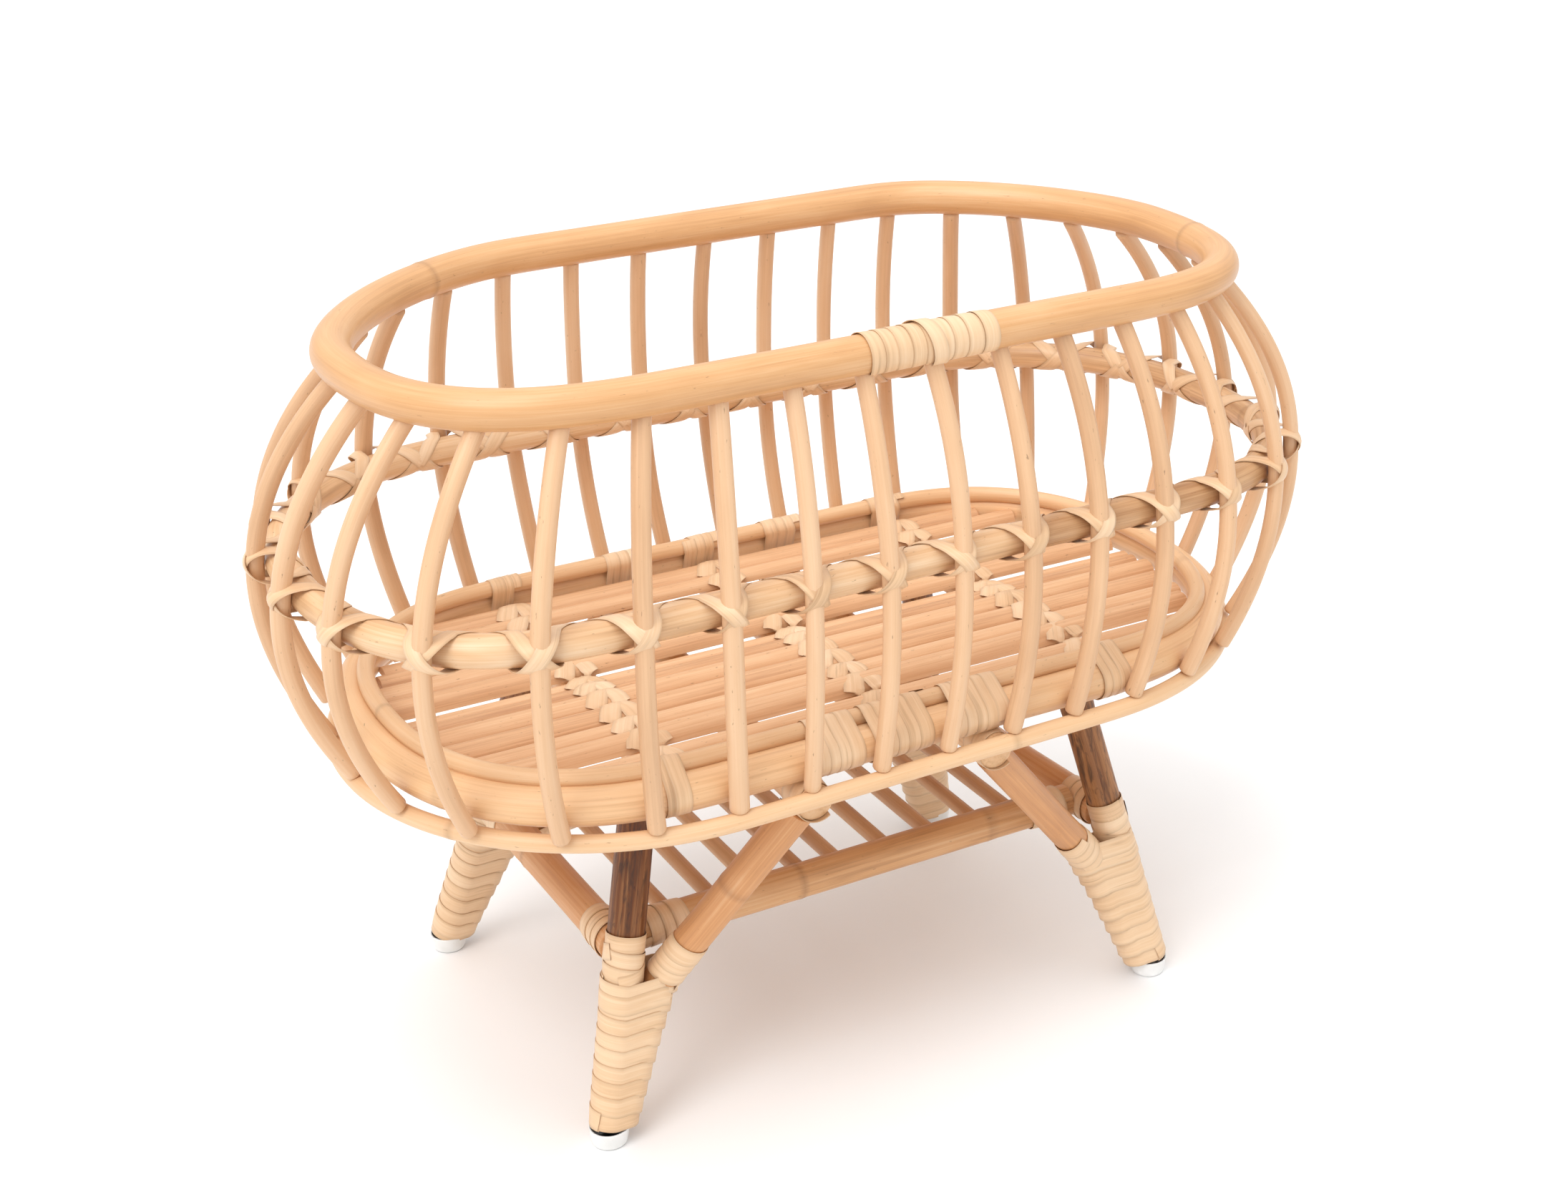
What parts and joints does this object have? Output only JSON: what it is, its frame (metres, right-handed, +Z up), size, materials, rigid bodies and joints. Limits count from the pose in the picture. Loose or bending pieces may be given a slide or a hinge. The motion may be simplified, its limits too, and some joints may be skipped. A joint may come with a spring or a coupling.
{
  "type": "bassinet",
  "caption": "Oval open-weave rattan bassinet basket with bowed spindles and a slatted deck, standing on splayed braced legs with a stick shelf.",
  "frame": {"origin": "on the floor under the middle of the basket's overall box", "axes": "+X along the basket's length, -Y the front long side, +Z up"},
  "size_m": [0.7067, 0.3716, 0.5121],
  "materials": {
    "rim_cane": "satin",
    "hoop_cane": "satin",
    "base_cane": "satin",
    "thin_cane": "satin",
    "spindle_cane": "satin",
    "deck_cane": "satin",
    "leg_cane": "satin",
    "brace_cane": "satin",
    "rail_cane": "satin",
    "peel": "satin",
    "foot_plastic": "matte"
  },
  "bodies": {
    "root": {"base_hoop": "base_cane", "base_inner_ring": "thin_cane", "base_ties": "peel", "base_trim_ring": "thin_cane", "brace_back_left": "brace_cane", "brace_back_right": "brace_cane", "brace_front_left": "brace_cane", "brace_front_right": "brace_cane", "brace_wraps": "peel", "cross_pole_left": "base_cane", "cross_pole_right": "base_cane", "cross_pole_wraps": "peel", "deck_slats": "deck_cane", "deck_weave_left": "peel", "deck_weave_middle": "peel", "deck_weave_right": "peel", "end_rail_left": "leg_cane", "end_rail_right": "leg_cane", "foot_cap_back_left": "foot_plastic", "foot_cap_back_right": "foot_plastic", "foot_cap_front_left": "foot_plastic", "foot_cap_front_right": "foot_plastic", "hoop_lashings": "peel", "leg_back_left": "leg_cane", "leg_back_right": "leg_cane", "leg_front_left": "leg_cane", "leg_front_right": "leg_cane", "leg_wrap_back_left": "peel", "leg_wrap_back_right": "peel", "leg_wrap_front_left": "peel", "leg_wrap_front_right": "peel", "mid_hoop": "hoop_cane", "rail_wraps": "peel", "rim_splice_wrap": "peel", "shelf_rail_back": "rail_cane", "shelf_rail_front": "rail_cane", "shelf_sticks": "thin_cane", "slat_bar_left": "base_cane", "slat_bar_middle": "base_cane", "slat_bar_right": "base_cane", "spindles_01_to_04": "spindle_cane", "spindles_05_to_08": "spindle_cane", "spindles_09_to_12": "spindle_cane", "spindles_13_to_16": "spindle_cane", "spindles_17_to_20": "spindle_cane", "spindles_21_to_24": "spindle_cane", "spindles_25_to_28": "spindle_cane", "spindles_29_to_33": "spindle_cane", "top_rim": "rim_cane"}
  },
  "joints": []
}
